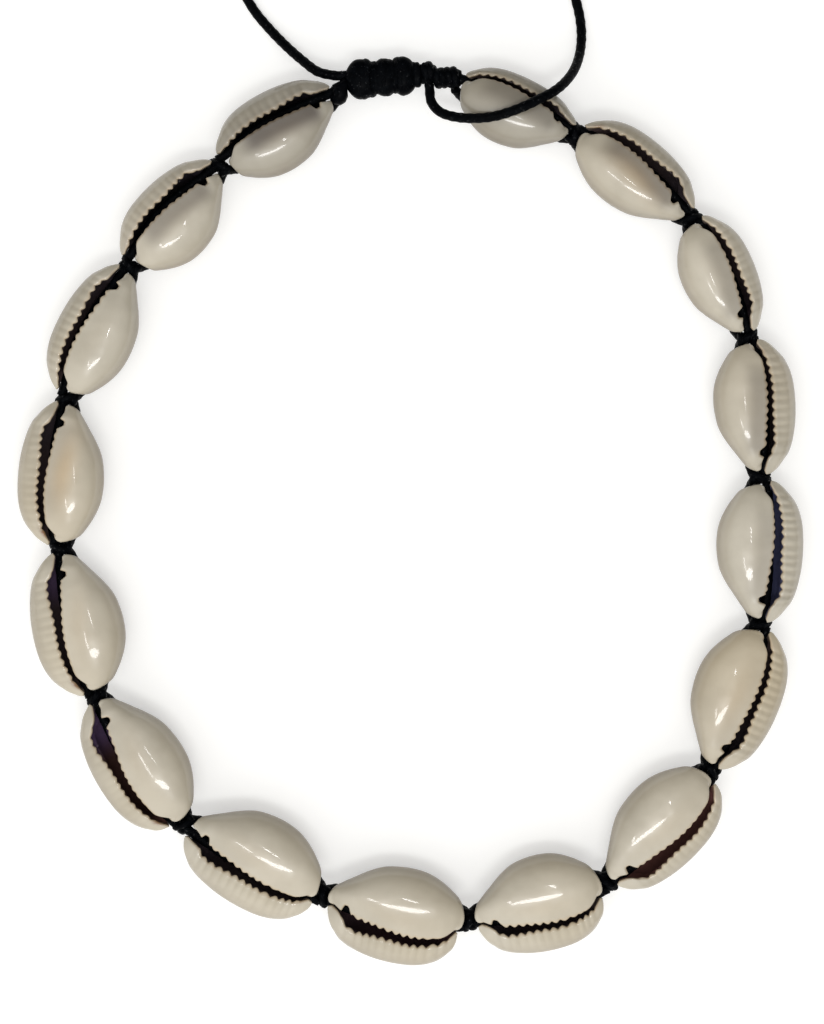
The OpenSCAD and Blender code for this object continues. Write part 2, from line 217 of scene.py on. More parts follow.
# %% [markdown]
# ## The form of a cowrie
#
# A cowrie is a snail shell rolled up like a scroll, so that only the last turn
# shows. Seen from below it has a big smooth dome on one side, a narrower rolled
# lip on the other, and a slit between them that runs from tip to tip and ends
# in a small canal at each. One could carve such a body from a stretched ball,
# but the slit and its rolled lips need a clean flow of faces to shine well.
# So the shell is lofted: at each place along its length the section is a C,
# which starts at the outer lip, goes round the back and over the dome, rolls
# into the slit and comes back along the inside of the wall.

# %% Tables of the section
# Place along the shell, reach outward and inward, top, widest level, bottom
SECTIONS = [
    (0.000, 0.34, 0.12, 0.775, 0.74, 0.68), (0.025, 0.54, 0.31, 0.82, 0.70, 0.55),
    (0.060, 0.66, 0.46, 0.87, 0.66, 0.36), (0.115, 0.78, 0.61, 0.92, 0.62, 0.235),
    (0.200, 0.90, 0.79, 0.965, 0.58, 0.115), (0.290, 0.97, 0.92, 0.99, 0.56, 0.045),
    (0.410, 1.00, 0.99, 1.00, 0.55, 0.0), (0.530, 0.99, 0.98, 1.00, 0.55, 0.0),
    (0.640, 0.95, 0.91, 0.99, 0.56, 0.035), (0.740, 0.88, 0.75, 0.97, 0.58, 0.110),
    (0.830, 0.79, 0.56, 0.935, 0.61, 0.220), (0.910, 0.66, 0.39, 0.89, 0.66, 0.345),
    (0.970, 0.49, 0.24, 0.81, 0.70, 0.540), (1.000, 0.32, 0.10, 0.76, 0.73, 0.670),
]
OUTER, INNER, TOP, WIDEST, BOTTOM = 1, 2, 3, 4, 5
# Place along the hollow, and the share of the section that it fills
HOLLOW = [(0.00, 0.45), (0.06, 0.72), (0.18, 0.93), (0.38, 1.00),
          (0.60, 1.00), (0.80, 0.90), (0.93, 0.68), (1.00, 0.42)]
# Place along the shell, distance of the slit from its axis, width of the slit
SLIT = [
    (0.00, 0.34, 0.3), (0.11, 0.77, 0.5), (0.20, 0.91, 0.8), (0.37, 1.00, 1.0),
    (0.54, 0.91, 1.05), (0.64, 0.84, 1.3), (0.74, 0.78, 1.55), (0.82, 0.68, 1.5),
    (0.88, 0.50, 0.8), (0.92, 0.38, 0.5), (1.00, 0.20, 0.5),
]
# Place along the shell, and how far the cord inside has gone over to the slit
CORD_IN_SHELL = [(0, 0), (0.16, 0.35), (0.33, 0.8), (0.5, 0.9), (0.67, 0.75), (0.84, 0.3), (1, 0)]
# Power of the sine that shapes the upper half: under 1 is fuller than round
FLATNESS = 0.86

# %% What differs from shell to shell
# Opening of the slit at the broad and at the narrow tip, in mm
TIP_OPENING = [
    (0.30, 0.7), (0.35, 1.1), (0.45, 0.9), (0.35, 0.3), (0.7, 0.45), (0.35, 0.3),
    (0.15, 0.35), (0.25, 0.15), (0.15, 0.12), (0.3, 1.5), (0.6, 0.8), (0.5, 0.9),
    (0.6, 1.0), (0.9, 1.2), (1.3, 1.4), (1.3, 1.5),
]
# How high the ridges on the outer lip stand, as a multiple
RIDGES = [0.6, 0.6, 0.8, 1.1, 1.6, 1.1, 0.7, 0.7, 0.9, 1.1, 0.4, 0.7, 0.5, 0.8, 0.8, 0.8]
# How far the outer lip points past the broad and the narrow tip, in mm
LIP_PAST_TIP = [
    (0.1, 0.6), (0.5, 0.55), (0.5, 0.45), (0.4, 0.5), (0.4, 0.5), (0.5, 0.35),
    (0.2, 0.15), (0.0, 0.0), (-0.1, 0.0), (0.0, 0.15), (0.3, 0.5), (0.5, 0.5),
    (0.55, 0.5), (0.5, 0.55), (0.55, 0.55), (0.5, 0.55),
]
# How far the teeth stand out, on the outer lip and on the dome
TEETH = [
    (0.8, 0.5), (0.9, 0.8), (0.9, 0.6), (0.9, 0.9), (0.9, 0.8), (1.0, 1.0),
    (0.8, 0.6), (1.1, 1.1), (1.2, 1.2), (1.1, 0.9), (0.7, 0.6), (0.8, 0.6),
    (1.0, 0.6), (1.0, 0.9), (1.0, 0.6), (1.0, 0.4),
]
# How much wider the slit opens towards the narrow tip, as a share
WIDER = [0, 0.1, 0, 0, 0.1, 0, 0, 0, 0.05, 0.1, 0.4, 0.3, 0.25, 0, 0, -0.1]

# %% Sizes of the lips, the teeth and the tips in mm, and counts of points
STATIONS, OUTER_POINTS, INNER_POINTS, FINE_POINTS = 118, 73, 37, 161
LIP_ARC, LIP_WALL, CAPS = 6, 3, 6
LIPS = LIP_ARC + LIP_WALL
AROUND = OUTER_POINTS + LIPS + INNER_POINTS + LIPS
LIP_ROUND, SHARPER_AT_TIP = 0.42, 0.1
# Reach of a tooth into the slit, the share of it that the edge makes room for,
# the dome's teeth as a share of the lip's, and a tooth's shares down the wall
TOOTH_REACH, TOOTH_ROOM, DOME_TEETH = 0.44, 0.6, 0.85
TOOTH_ON_WALL = [0.8, 0.35, 0.0]
RIDGE_HEIGHT, RIDGE_AT_EDGE, RIDGE_FADE = 0.17, 0.07, 3.6
DOME_RIDGE, DOME_RIDGE_FADE = 0.3 * RIDGE_AT_EDGE, 0.6
# A narrow notch in the dome's edge, near the narrow tip
NOTCH_PLACE, NOTCH_WIDTH, NOTCH_DEPTH = 0.862, 0.8, 1.15
# Width and depth of the sink beside the slit, and the share left at the tips
LABRAL_DIP, INNER_DIP, DIP_AT_TIP = (1.7, 0.28), (2.4, 0.5), 0.35
TIP_ROUND, CAP_SLOPE = 0.65, 0.45
TIP_SHEAR, SHEAR_REACH, TIP_REACH = 1.3, 1.6, 2.4
# Radius of the dome's corner beside the slit, at the broad and the narrow tip
CORNERS = (1.6, 1.2)
# Half width of the hollow's mouth beyond the slit's, and at most
MOUTH_ROOM, MOUTH_MOST = 0.12, 1.1
# Radius of the canals, height of their roof over their middle, and the
# distances from a tip between which a canal opens into the hollow
CANAL_R, CANAL_ROOF, CANAL_OPENS = 0.98, 0.6, (1.0, 4.2)
# Counts as this far from the slit: all that lies on a shell's lower half
FAR = 6
TOOTH_WOBBLE, SHELL_SEED = 0.16, 700


# %% Lines and sections of a shell
def slit_line(i, u):
    """Middle of shell i's slit and half its width, at places u along the shell."""
    reach = SHELLS[i][1] * SHELLS[i][2] * SHELL_WIDTH
    y = SHELLS[i][3] * reach * smooth_table(u, SLIT, 1)
    half = SHELLS[i][4] * SLIT_WIDTH / 2 * smooth_table(u, SLIT, 2)
    half = half * (1 + WIDER[i] * smoothstep(u, 0.4, 0.75))
    broad, narrow = TIP_OPENING[i]
    half = half + (broad / 2 - half) * (1 - smoothstep(u, 0.03, 0.12))
    return y, half + (narrow / 2 - half) * smoothstep(u, 0.86, 0.93)


def between_canals(v):
    """Place across a shell of the straight line from one canal to the other."""
    return CANAL_BROAD_Y + v * (CANAL_NARROW_Y - CANAL_BROAD_Y)


def outer_form(i, u, angle, side_in=0.0, top_in=0.0, bottom_in=0.0, fill=1.0):
    """Points (y, z) of shell i's section at places u, for angles round it."""
    wide, share = SHELLS[i][1:3]
    outer = wide * share * SHELL_WIDTH * smooth_table(u, SECTIONS, OUTER) - side_in
    inner = wide * (1 - share) * SHELL_WIDTH * smooth_table(u, SECTIONS, INNER) - side_in
    level = smooth_table(u, SECTIONS, WIDEST) * SHELL_HEIGHT
    up = smooth_table(u, SECTIONS, TOP) * SHELL_HEIGHT - top_in - level
    down = level - np.maximum(smooth_table(u, SECTIONS, BOTTOM), 0) * SHELL_HEIGHT - bottom_in
    c, s = np.cos(angle), np.sin(angle)
    flat = np.where(s > 0, FLATNESS, 1.0)
    y = fill * np.where(c > 0, outer, inner) * power(c, flat)
    z = level + fill * np.where(s > 0, up, down) * power(s, flat)
    return y, z


def round_under(start, end, t):
    """Angles from start to end, the long way round under the shell."""
    return start[:, None] + t[None, :] * (end - 2 * np.pi - start)[:, None]


def spread(outer, inner_lip, hollow, labral_lip):
    """A value for every point of the loops, from those of its four stretches."""
    stretches = ((outer, OUTER_POINTS), (inner_lip, LIPS), (hollow, INNER_POINTS), (labral_lip, LIPS))
    return np.concatenate([np.broadcast_to(v, (STATIONS, n)) for v, n in stretches], axis=1)


def faces_between(index):
    """Faces between closed rings of points, from the points' numbers."""
    a, b = index[:-1], index[1:]
    quads = np.stack([a, b, np.roll(b, -1, axis=1), np.roll(a, -1, axis=1)], axis=-1)
    return quads.reshape(-1, 4).tolist()


# %% Values at a shell's points, and the caps of its tips
def shell_values(i, u, x, angle, labral, distance):
    """What the teeth and the colours need: depth inside, nearness to the edge,
    the lip's rim, the side of the slit, place, length along and flank."""
    lip_inside = np.concatenate([np.zeros(LIP_ARC - 2), [0.12, 0.35], [0.75, 1, 1]])
    lip_rim = np.concatenate([np.linspace(0.2, 1, LIP_ARC), [0.6, 0, 0]])
    side = spread(np.where(labral, 1, -1), -1, 0, 1)
    rng = np.random.default_rng(SHELL_SEED + i)
    wobble = np.stack([np.linspace(0, 1, 9), rng.normal(0, TOOTH_WOBBLE, 9)], axis=1)
    return {
        "inside": spread(0, lip_inside, 1, lip_inside[::-1]),
        "near": spread(distance, 0, 0, 0),
        "rim": spread(0, lip_rim, 0, lip_rim[::-1]),
        "side": side,
        "place": np.repeat(u[:, None], AROUND, axis=1),
        "along": (x + smooth_table(u, wobble))[:, None] + np.where(side < 0, 0.5 * TOOTH_PITCH, 0.0),
        "flank": spread(1 - smoothstep(np.sin(angle), 0.0, 0.85), 0, 0, 0),
    }


def cap(row, sign):
    """Rings that round off a tip, drawn together into their own middle line."""
    out, inn = row[:OUTER_POINTS], row[OUTER_POINTS + LIPS:-LIPS][::-1]
    mid = np.empty_like(out)
    mid[::2] = (out[::2] + inn) / 2
    mid[1::2] = (out[1::2] + (inn[:-1] + inn[1:]) / 2) / 2
    middle = np.concatenate([mid, np.repeat(mid[-1:], LIPS, axis=0), mid[::2][::-1],
                             np.repeat(mid[:1], LIPS, axis=0)])
    rings = []
    for a in np.arange(1, CAPS + 1) / CAPS * np.pi / 2:
        ring = middle + (row - middle) * math.cos(a) * (1 - CAP_SLOPE * math.sin(a))
        ring[:, 0] += sign * TIP_ROUND * math.sin(a)
        rings.append(ring)
    return np.array(rings)


# %% The loft of one shell
def build_cowrie(i):
    """Points and faces of shell i, with what its teeth and its colours need."""
    length = shell_len(i)
    u = np.linspace(TIP_ROUND / length, 1 - TIP_ROUND / length, STATIONS)
    x = (u - 0.5) * length
    from_tip = np.minimum(u, 1 - u) * length
    way = np.where(u < 0.5, 1.0, -1.0)
    slit_y, half = slit_line(i, u)
    labral_teeth = window(u, 0.05, 0.13, 0.85, 0.90, TEETH[i][0])
    inner_teeth = window(u, 0.1, 0.4, 0.80, 0.84, TEETH[i][1])
    notch = np.exp(-((u - NOTCH_PLACE) * length / NOTCH_WIDTH) ** 4)
    notch = NOTCH_DEPTH * notch * min(1, SHELLS[i][4])
    labral_edge = slit_y + half + TOOTH_ROOM * TOOTH_REACH * labral_teeth
    inner_base = slit_y - half - TOOTH_ROOM * DOME_TEETH * TOOTH_REACH * inner_teeth
    inner_edge = inner_base - notch
    rounding = LIP_ROUND - SHARPER_AT_TIP * bell(from_tip, 1)
    shear = way * TIP_SHEAR * bell(from_tip, SHEAR_REACH)
    valley = DIP_AT_TIP + (1 - DIP_AT_TIP) * window(u, 0.0, 0.2, 0.8, 1.0)[:, None]

    def sheared(angle):
        """Places u and x for points at an angle, which lie further in lower down."""
        shift = shear[:, None] * 0.5 * (1 - np.sin(angle))
        return u[:, None] + shift / length, x[:, None] + shift

    fine = np.broadcast_to(np.linspace(0, np.pi, FINE_POINTS), (STATIONS, FINE_POINTS))
    fine_y, fine_z = outer_form(i, sheared(fine)[0], fine)

    def angles_at(ys, rows):
        """The angle on each section's upper half at which it lies at y."""
        return np.array([np.interp(y, row[::-1], fine[0][::-1]) for y, row in zip(ys, rows)])

    even = np.linspace(0, 1, OUTER_POINTS)
    t = 0.25 * even + 0.75 * 0.5 * (1 - np.cos(np.pi * even))
    angle = round_under(angles_at(labral_edge + rounding, fine_y),
                        angles_at(inner_edge - rounding, fine_y), t)
    place, xs = sheared(angle)
    y, z = outer_form(i, place, angle)
    labral = np.broadcast_to(t[None, :] < 0.5, angle.shape)
    distance = np.where(labral, y - labral_edge[:, None], inner_base[:, None] - y)
    distance = np.maximum(distance, 0) + (1 - smoothstep(np.sin(angle), 0.0, 0.5)) * FAR

    def dip(distance, width, depth):
        """How far the surface sinks towards the slit."""
        return depth * bell(distance, width) * valley

    z = z - np.where(labral, dip(distance, *LABRAL_DIP), dip(distance, *INNER_DIP))
    outer = np.stack([xs, y, z], axis=-1)
    fade = np.clip(1 - distance / RIDGE_FADE, 0, 1) ** 1.2
    dome_fade = np.clip(1 - distance / DOME_RIDGE_FADE, 0, 1) ** 1.5
    rise = RIDGE_AT_EDGE + (RIDGES[i] * RIDGE_HEIGHT - RIDGE_AT_EDGE) * smoothstep(distance, 0.0, 1.2)
    lift = np.where(labral, rise * fade * labral_teeth[:, None],
                    DOME_RIDGE * dome_fade * inner_teeth[:, None])
    outer_ridge = np.stack([np.zeros_like(lift), np.zeros_like(lift), lift], axis=-1)

    def lip(side, edge, base, teeth, ridge, sink):
        """Rounded edge and wall of one lip, from the outer surface downward."""
        bend = np.linspace(0, np.pi / 2, LIP_ARC + 1)[1:]
        down = np.linspace(0, 1, LIP_WALL + 1)[None, 1:]
        ys = edge[:, None] + side * rounding[:, None] * (1 - np.sin(bend))
        tops = np.array([np.interp(ys[k], fine_y[k][::-1], fine_z[k][::-1]) for k in range(STATIONS)])
        zs = tops - dip(np.maximum(side * (ys - base[:, None]), 0), *sink)
        zs = zs - rounding[:, None] * (1 - np.cos(bend))
        low = zs[:, -1:] - (LIP_THICKNESS - LIP_ROUND) * down
        low = low + (CANAL_Z + CANAL_ROOF - low) * bell(from_tip[:, None], 1.5) * down
        ys = np.concatenate([ys, np.repeat(edge[:, None], LIP_WALL, axis=1)], axis=1)
        zs = np.concatenate([zs, low], axis=1)
        out = np.concatenate([np.sin(bend), TOOTH_ON_WALL])
        push = -side * TOOTH_REACH * teeth[:, None] * out
        up = ridge * teeth[:, None] * np.concatenate([np.cos(bend), np.zeros(LIP_WALL)])
        points = np.stack([np.repeat(x[:, None], LIPS, axis=1), ys, zs], axis=-1)
        return points, np.stack([np.zeros_like(push), push, up], axis=-1)

    labral_lip, labral_ridge = lip(
        1, labral_edge, labral_edge, labral_teeth, RIDGE_AT_EDGE, LABRAL_DIP)
    inner_lip, inner_ridge = lip(
        -1, inner_edge, inner_base, DOME_TEETH * inner_teeth, DOME_RIDGE, INNER_DIP)

    # The hollow inside, which narrows to a round canal at each tip
    open_part = smoothstep(from_tip, *CANAL_OPENS)[:, None]
    tip = TIP_THICKNESS / length
    fill = smooth_table((u - tip) / (1 - 2 * tip), HOLLOW)[:, None]
    straight = between_canals(u)
    canal_y = (straight + smooth_table(u, CORD_IN_SHELL) * (slit_y - straight))[:, None]

    def hollow_form(a):
        """Points (y, z) of the hollow, for angles round it."""
        hy, hz = outer_form(i, sheared(a)[0], a, SHELL_WALL, LIP_THICKNESS, SHELL_WALL, fill)
        cy, cz = canal_y + CANAL_R * np.cos(a), CANAL_Z + CANAL_R * np.sin(a)
        return cy + open_part * (hy - cy), cz + open_part * (hz - cz)

    hollow_y = hollow_form(fine)[0]
    reach = np.minimum(half + MOUTH_ROOM, MOUTH_MOST)
    h_start = angles_at(slit_y + reach, hollow_y)
    h_end = np.maximum(angles_at(slit_y - (reach + notch), hollow_y), h_start + 0.3)
    h_angle = round_under(h_start, h_end, np.linspace(0, 1, INNER_POINTS))
    hollow = np.stack([sheared(h_angle)[1], *hollow_form(h_angle)], axis=-1)

    # One closed loop of points at each place along the shell
    loop = np.concatenate([outer, inner_lip, hollow[:, ::-1], labral_lip[:, ::-1]], axis=1)
    ridge = np.concatenate([outer_ridge, inner_ridge, np.zeros_like(hollow), labral_ridge[:, ::-1]], axis=1)

    # Near the tips the dome's corner is rounded and the lip runs out in a point
    corner = np.where(u < 0.5, *CORNERS)[:, None]
    near_edge = np.clip(1 - (inner_edge[:, None] - loop[..., 1]) / corner, 0, 0.98)
    dome_back = corner * (1 - np.sqrt(1 - near_edge ** 2))
    lobe = np.maximum(y.max(axis=1) - labral_edge, 0.4)[:, None]
    across = np.clip(2 * (loop[..., 1] - labral_edge[:, None]) / lobe - 1, -0.97, 0.97)
    past = np.where(u < 0.5, *LIP_PAST_TIP[i])[:, None]
    peak = -0.2 - 0.9 * past
    lip_back = (0.65 + 0.9 * past) * ((across - peak) / (1 - peak)) ** 2 - past
    blend = 0.05 + 1.6 * (1 - smoothstep(loop[..., 2], CANAL_Z - 0.5, CANAL_Z + 1.0))
    on_lip = np.clip((loop[..., 1] - slit_y[:, None]) / (2 * blend) + 0.5, 0, 1)
    fading = bell(from_tip, TIP_REACH)[:, None]
    loop[..., 0] += way[:, None] * fading * (dome_back + on_lip * (lip_back - dome_back))

    values = shell_values(i, u, x, angle, labral, distance)
    data = {key: np.pad(v, ((CAPS, CAPS), (0, 0)), "edge").reshape(-1) for key, v in values.items()}
    ridge_way = np.pad(ridge, ((CAPS, CAPS), (0, 0), (0, 0))).reshape(-1, 3)

    points = np.concatenate([cap(loop[0], -1)[::-1], loop, cap(loop[-1], 1)])
    index = np.arange(len(points) * AROUND).reshape(-1, AROUND)
    seams = [row[j:j + 3].tolist() for row in (index[0], index[-1]) for j in range(0, OUTER_POINTS - 1, 2)]
    return points.reshape(-1, 3), faces_between(index) + seams, ridge_way, data


# %% Make the mesh of every shell
def keep(mesh, name, values, kind="FLOAT", field="value"):
    """Keeps values at the mesh's points, where node trees can read them."""
    stored = np.asarray(values, np.float32).ravel()
    mesh.attributes.new(name, kind, "POINT").data.foreach_set(field, stored)


def joined(mesh, others=(), merge=0):
    """Adds other bodies to a mesh, and turns all its faces smoothly outwards."""
    work = bmesh.new()
    for source in (mesh, *others):
        work.from_mesh(source)
    if merge:
        bmesh.ops.remove_doubles(work, verts=work.verts, dist=merge)
    bmesh.ops.recalc_face_normals(work, faces=work.faces)
    for face in work.faces:
        face.smooth = True
    open_edges = sum(1 for edge in work.edges if len(edge.link_faces) != 2)
    work.to_mesh(mesh)
    work.free()
    return open_edges


cowries = []
for i in range(COUNT):
    points, faces, ridge_way, data = build_cowrie(i)
    mesh = bpy.data.meshes.new(f"cowrie_{i + 1:02d}")
    mesh.from_pydata((at_shell(i, points) * MM).tolist(), [], faces)
    keep(mesh, "ridge_way", placed(ridge_way, 0, shell_axes(i)[1]) * MM, "FLOAT_VECTOR", "vector")
    for key, values in data.items():
        keep(mesh, key, values)
    open_edges = joined(mesh, merge=2e-8)
    cowries.append(linked(mesh.name, mesh))
    print(mesh.name, len(mesh.polygons), "faces, open edges", open_edges)

# %% [markdown]
# ## Teeth, by Geometry Nodes
#
# Both lips carry teeth, which run on over the outer lip as low ridges. They
# repeat at an even spacing, so a node tree raises them: every point knows its
# place along the slit and the way it moves where a tooth stands, and the tree
# turns the place into a row of rounded teeth, which get narrower and sharper
# away from the slit.


# %% A small function that adds a node with its settings and links
def add(tree, kind, *inputs, **settings):
    """Adds a node with its settings and links.

    A kind in capitals is a step of arithmetic. Inputs come in order, or by
    name in a dictionary. A node (by its first output) or a socket is linked,
    and any other value is set.
    """
    if kind.isupper():
        kind, settings = "ShaderNodeMath", {"operation": kind}
    made = tree.nodes.new(kind)
    for key, value in settings.items():
        setattr(made, key, value)
    named = inputs[0] if inputs and isinstance(inputs[0], dict) else dict(enumerate(inputs))
    for key, value in named.items():
        if isinstance(value, bpy.types.Node):
            value = value.outputs[0]
        if isinstance(value, bpy.types.NodeSocket):
            tree.links.new(value, made.inputs[key])
        else:
            made.inputs[key].default_value = value
    return made


# %% Helpers that start, end and run a tree
READ, VECTOR_MATH, MIX = "GeometryNodeInputNamedAttribute", "ShaderNodeVectorMath", "ShaderNodeMix"
KINDS = {float: "NodeSocketFloat", int: "NodeSocketInt", type(None): "NodeSocketMaterial"}


def new_tree(name, inputs):
    """A node tree with a geometry input, named inputs and a geometry output."""
    tree = bpy.data.node_groups.new(name, "GeometryNodeTree")
    tree.interface.new_socket("Geometry", in_out="INPUT", socket_type="NodeSocketGeometry")
    for label, value in inputs.items():
        made = tree.interface.new_socket(label, in_out="INPUT", socket_type=KINDS[type(value)])
        if value is not None:
            made.default_value = value
    tree.interface.new_socket("Geometry", in_out="OUTPUT", socket_type="NodeSocketGeometry")
    return tree, tree.nodes.new("NodeGroupInput").outputs


def end_tree(tree, given, geometry, way, height):
    """Moves the points by a height along their way, and sets the material."""
    offset = add(tree, VECTOR_MATH, {"Vector": way, "Scale": height}, operation="SCALE")
    moved = add(tree, "GeometryNodeSetPosition", {"Geometry": geometry, "Offset": offset})
    shaded = add(tree, "GeometryNodeSetShadeSmooth", moved)
    real = add(tree, "GeometryNodeRealizeInstances", shaded)
    coated = add(tree, "GeometryNodeSetMaterial", {"Geometry": real, "Material": given["Material"]})
    add(tree, "NodeGroupOutput", {0: coated})


def baked(obj, tree, values):
    """Runs the tree on obj, and gives what it makes as a plain mesh."""
    modifier = obj.modifiers.new(tree.name, "NODES")
    modifier.node_group = tree
    for item in tree.interface.items_tree:
        if item.name in values:
            modifier[item.identifier] = values[item.name]
    graph = bpy.context.evaluated_depsgraph_get()
    mesh = bpy.data.meshes.new_from_object(obj.evaluated_get(graph), depsgraph=graph)
    mesh.name = obj.name
    obj.modifiers.remove(modifier)
    return mesh


# %% The tree that raises the teeth
teeth_tree, given = new_tree("teeth", {
    "Tooth pitch": TOOTH_PITCH, "Tooth height": 1.0, "Sharpness": 0.65, "Material": None})
tree = teeth_tree
along_slit, from_slit = (add(tree, READ, name, data_type="FLOAT") for name in ("along", "near"))
way_up = add(tree, READ, "ridge_way", data_type="FLOAT_VECTOR")
pitches = add(tree, "DIVIDE", along_slit, given["Tooth pitch"])
wave = add(tree, "COSINE", add(tree, "MULTIPLY", pitches, math.pi))
row = add(tree, "MULTIPLY", wave, wave)
narrower = add(tree, "ADD", add(tree, "MULTIPLY", from_slit, 0.4), given["Sharpness"])
row = add(tree, "POWER", row, add(tree, "MINIMUM", narrower, 1.4))
height = add(tree, "MULTIPLY", row, given["Tooth height"])
end_tree(tree, given, given["Geometry"], way_up, height)

# %% [markdown]
# ## Glazed shell
#
# A cowrie's surface is a thin natural enamel of fine layers, which the animal
# polishes with its mantle. It gives a hard, clear gloss over a cream body that
# is a little warmer or greyer from place to place, and ochre shows through it
# beside the slit. Shade is partly painted into the colour: the flanks are
# painted darker and browner as shade, a grey beside the slit is partly the
# shell's own and partly painted shade where the dome sinks into the slit, and
# the valleys between the outer lip's ridges are painted darker as shade. Down
# the flanks and on the worn outer lip the gloss is duller. Inside, the wall is
# dark: brown, violet or blue-grey.

# %% The tints of each shell
# Tone (how light), warmth, grey beside the slit with painted shade, ochre, brown stain at the broad end
SHELL_TINTS = [
    (0.63, 0.3, 0.6, 0.1, 0.1), (0.88, 0.4, 1.1, 0.7, 0.6), (0.98, 0.3, 0.7, 0.1, 0.1),
    (0.93, 0.5, 0.8, 0.1, 0.2), (1.00, 0.2, 0.5, 0.1, 0.1), (0.95, 1, 0.2, 0.4, 0.2),
    (1.00, 0.4, 0, 0.2, 0.3), (1.00, 0.5, 0, 0.2, 0.2), (0.98, 0.5, 0, 0.2, 0.3),
    (1.00, 0.4, 0, 0.2, 0.5), (0.97, 0.4, 0, 0.2, 0.9), (0.98, 0.5, 0, 0.3, 0.9),
    (0.98, 0.6, 0.35, 1, 1), (0.95, 0.3, 0, 0.1, 0.1), (0.96, 0.3, 1, 0.1, 0.1),
    # The last shell lies in shade, and its low tone is painted shade
    (0.71, 0.2, 1.5, 0.2, 0.1),
]
# Colour of the wall inside, towards the broad and the narrow tip: of most
# shells, and of those that differ
INSIDE = ("#463A3A", "#3E363A")
INSIDES = {
    4: ("#55587A", "#5A5D80"), 6: ("#6E4A44", "#6E4A44"), 8: ("#463034", "#3A2C30"),
    10: ("#4C342E", "#54425F"), 11: ("#463A3A", "#55455E"), 14: ("#2A2626", "#262228"),
    15: ("#2A2626", "#262228"),
}
# Each layer over the body's colour, how strongly it shows, and its colour
SHELL_LAYERS = [
    # The flank layer is painted shade, darker and browner down the flanks towards the outline; the shade
    # layer is partly the shell's own grey and partly painted shade beside the slit
    ("warmth", 0.5, "#CBB894"), ("flank", 0.75, "#7E705A"), ("shade", 0.6, "#6E665E"),
    # The first layer here is painted shade, darker in the valleys between the outer lip's ridges
    ("painted_groove_shade", 0.4, "#8E826C"), ("ochre", 0.5, "#BF9F6E"), ("brown", 1.0, "#6E4020"),
    ("rim", 0.45, "#C9AB80"),
]


# %% A helper that starts a material
def new_material(name, attributes=(), spots=None, **values):
    """A material with its shader's values and the patterns that it reads.

    Attributes are values that the mesh keeps at its points. Spots are soft
    noise on Object coordinates: their width in mm, how fine its detail is, and
    the limits of the ramp that makes them clearer, where they have one.
    """
    material = bpy.data.materials.new(name)
    material.use_nodes = True
    tree = material.node_tree
    shader = tree.nodes["Principled BSDF"].inputs
    for key, value in values.items():
        shader[key.replace("_", " ")].default_value = value
    read = {key: add(tree, "ShaderNodeAttribute", attribute_name=key).outputs["Fac"] for key in attributes}
    for key, (wide, detail, *limits) in (spots or {}).items():
        place = add(tree, "ShaderNodeTexCoord").outputs["Object"]
        read[key] = add(tree, "ShaderNodeTexNoise", {
            "Vector": place, "Scale": 1 / (wide * MM), "Detail": detail})
        if limits:
            read[key] = add(tree, "ShaderNodeMapRange", read[key], *limits, interpolation_type="SMOOTHSTEP")
    return material, tree, shader, read


# %% The shells' material
shell_enamel, tree, shader, read = new_material(
    "natural_shell_enamel",
    ("tone", "warmth", "flank", "shade", "painted_groove_shade", "ochre", "brown", "rim", "inside", "dull"),
    {"cloud": (6.0, 3, 0.35, 0.65), "speckle": (1.2, 3, 0.3, 0.6), "waves": (3.4, 1.2), "grain": (0.5, 2)},
    Roughness=0.3, IOR=1.5, Coat_Roughness=0.06, Coat_IOR=1.55)
read["brown"] = add(tree, "MULTIPLY", read["brown"], read["speckle"])
inner_wall = add(tree, "ShaderNodeAttribute", attribute_name="inner_colour")
body = add(tree, MIX, {0: read["cloud"], 6: linear("#B7B1A2"), 7: linear("#C2BCAD")}, data_type="RGBA")
for key, strength, colour in SHELL_LAYERS:
    factor = add(tree, "MULTIPLY", read[key], strength)
    body = add(tree, MIX, {0: factor, 6: body.outputs[2], 7: linear(colour)}, data_type="RGBA")
body = add(tree, MIX, {0: read["tone"], 6: linear("#000000"), 7: body.outputs[2]}, data_type="RGBA")
body = add(tree, MIX, {0: read["inside"], 6: body.outputs[2], 7: inner_wall}, data_type="RGBA")
tree.links.new(body.outputs[2], shader["Base Color"])

dull_rim = add(tree, "MULTIPLY", read["rim"], 0.75)
polish = add(tree, "SUBTRACT", 1.0, add(tree, "MAXIMUM", read["dull"], dull_rim))
for socket, share in (("Specular IOR Level", 0.5), ("Coat Weight", 0.6)):
    tree.links.new(add(tree, "MULTIPLY", polish, share).outputs[0], shader[socket])
waves = add(tree, "ShaderNodeBump", {"Height": read["waves"], "Strength": 0.4, "Distance": 0.4 * MM})
grain = add(tree, "ShaderNodeBump", {
    "Height": read["grain"], "Normal": waves, "Strength": 0.06, "Distance": 0.02 * MM})
tree.links.new(grain.outputs[0], shader["Normal"])


